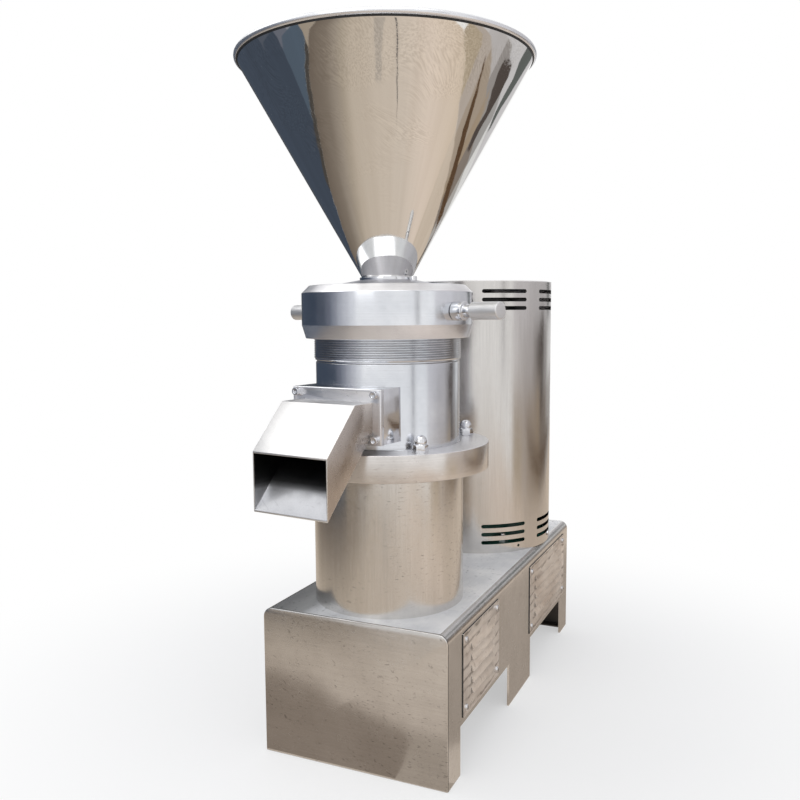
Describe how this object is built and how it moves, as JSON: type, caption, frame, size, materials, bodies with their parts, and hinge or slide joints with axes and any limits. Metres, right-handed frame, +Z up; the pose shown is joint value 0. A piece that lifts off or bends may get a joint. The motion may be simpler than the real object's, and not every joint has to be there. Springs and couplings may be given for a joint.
{
  "type": "peanut butter machine",
  "caption": "Upright colloid mill with conical hopper, adjusting ring with side handles, sloping outlet chute, and a shrouded belt-drive motor on a box base.",
  "frame": {"origin": "on the floor, at the middle of the machine's bounding box", "axes": "+Z up, -Y towards the front where the chute is, +X to the right seen from the front"},
  "size_m": [0.396, 0.7518, 0.9287],
  "materials": {
    "brushed_sheet": "brushed stainless sheet, lightly scuffed",
    "vent_sheet": "matt stainless sheet",
    "mirror_sheet": "mirror polished stainless sheet",
    "turned_steel": "satin turned stainless steel",
    "polished_steel": "polished stainless steel",
    "bearing_steel": "ground steel",
    "hardened_steel": "hardened ground stainless steel",
    "spring_steel": "spring steel",
    "zinc_steel": "zinc plated steel",
    "painted_plate": "grey primer on steel plate",
    "green_paint": "green enamel paint",
    "gasket_rubber": "black food rubber",
    "belt_rubber": "black cord reinforced rubber",
    "seal_ceramic": "fine ground ceramic",
    "pulley_iron": "machined cast iron",
    "lamination_steel": "stacked steel laminations",
    "fan_plastic": "black moulded plastic",
    "gland_plastic": "black moulded plastic"
  },
  "bodies": {
    "machine": {"base_cover": "brushed_sheet", "front_panel": "brushed_sheet", "rear_panel": "brushed_sheet", "bed_plate": "painted_plate", "front_vent_plate": "vent_sheet", "rear_vent_plate": "vent_sheet", "vent_screws": "polished_steel", "pedestal_tube": "turned_steel", "pedestal_bolts": "polished_steel", "pedestal_flange": "turned_steel", "flange_studs": "polished_steel", "acorn_nuts": "polished_steel", "chamber_body": "turned_steel", "outlet_block": "polished_steel", "outlet_gasket": "gasket_rubber", "chute_flange": "brushed_sheet", "chute_duct": "brushed_sheet", "chute_screws": "polished_steel", "upper_bearing_outer": "bearing_steel", "lower_bearing_outer": "bearing_steel", "bearing_balls": "bearing_steel", "upper_bearing_cap": "turned_steel", "lower_bearing_cap": "turned_steel", "seal_seat": "seal_ceramic", "guide_pins": "bearing_steel", "lift_spring": "spring_steel", "drive_belts": "belt_rubber", "motor_frame": "green_paint", "motor_flange_shield": "green_paint", "motor_top_shield": "green_paint", "motor_studs": "zinc_steel", "terminal_box": "green_paint", "fan_cowl": "green_paint", "motor_shroud": "brushed_sheet", "shroud_lid": "brushed_sheet", "shroud_screws": "polished_steel", "cable_gland": "gland_plastic"},
    "stator_carrier": {"stator_carrier": "turned_steel", "throat_sleeve": "turned_steel", "stator": "hardened_steel", "carrier_seal_ring": "gasket_rubber", "feed_cover": "turned_steel", "lock_screw": "bearing_steel", "hopper_collar": "polished_steel", "hopper": "mirror_sheet"},
    "adjusting_ring": {"adjusting_ring": "turned_steel"},
    "right_handle": {"right_handle": "turned_steel"},
    "left_handle": {"left_handle": "turned_steel"},
    "spindle": {"mill_shaft": "bearing_steel", "rotor": "hardened_steel", "feed_screw": "hardened_steel", "discharge_impeller": "turned_steel", "seal_head": "bearing_steel", "upper_bearing_inner": "bearing_steel", "lower_bearing_inner": "bearing_steel", "mill_pulley": "pulley_iron"},
    "motor_rotor": {"motor_shaft": "bearing_steel", "motor_core": "lamination_steel", "motor_fan": "fan_plastic", "motor_pulley": "pulley_iron"}
  },
  "joints": [
    {"name": "gap_lift", "type": "slide", "parent": "machine", "child": "stator_carrier", "axis": [0, 0, 1], "range_m": [0, 0.0015], "deforming": ["lift_spring"]},
    {"name": "ring_turn", "type": "hinge", "parent": "stator_carrier", "child": "adjusting_ring", "pos_m": [0, -0.15614, 0.6], "axis": [0, 0, 1], "range_deg": [0, 180]},
    {"name": "right_handle_turn", "type": "hinge", "parent": "adjusting_ring", "child": "right_handle", "pos_m": [0.11093, -0.19006, 0.597], "axis": [0.9563, -0.2924, 0], "range_deg": [0, 180]},
    {"name": "left_handle_turn", "type": "hinge", "parent": "adjusting_ring", "child": "left_handle", "pos_m": [-0.11093, -0.12223, 0.597], "axis": [-0.9563, 0.2924, 0], "range_deg": [0, 180]},
    {"name": "spindle_spin", "type": "hinge", "parent": "machine", "child": "spindle", "pos_m": [0, -0.15614, 0.4], "axis": [0, 0, 1], "continuous": true},
    {"name": "motor_spin", "type": "hinge", "parent": "machine", "child": "motor_rotor", "pos_m": [0, 0.20386, 0.4], "axis": [0, 0, 1], "continuous": true}
  ],
  "couplings": [
    {"joint": "gap_lift", "follows": "ring_turn", "m_per_rad": 0.000477},
    {"joint": "spindle_spin", "follows": "motor_spin", "ratio": 1.2444}
  ]
}
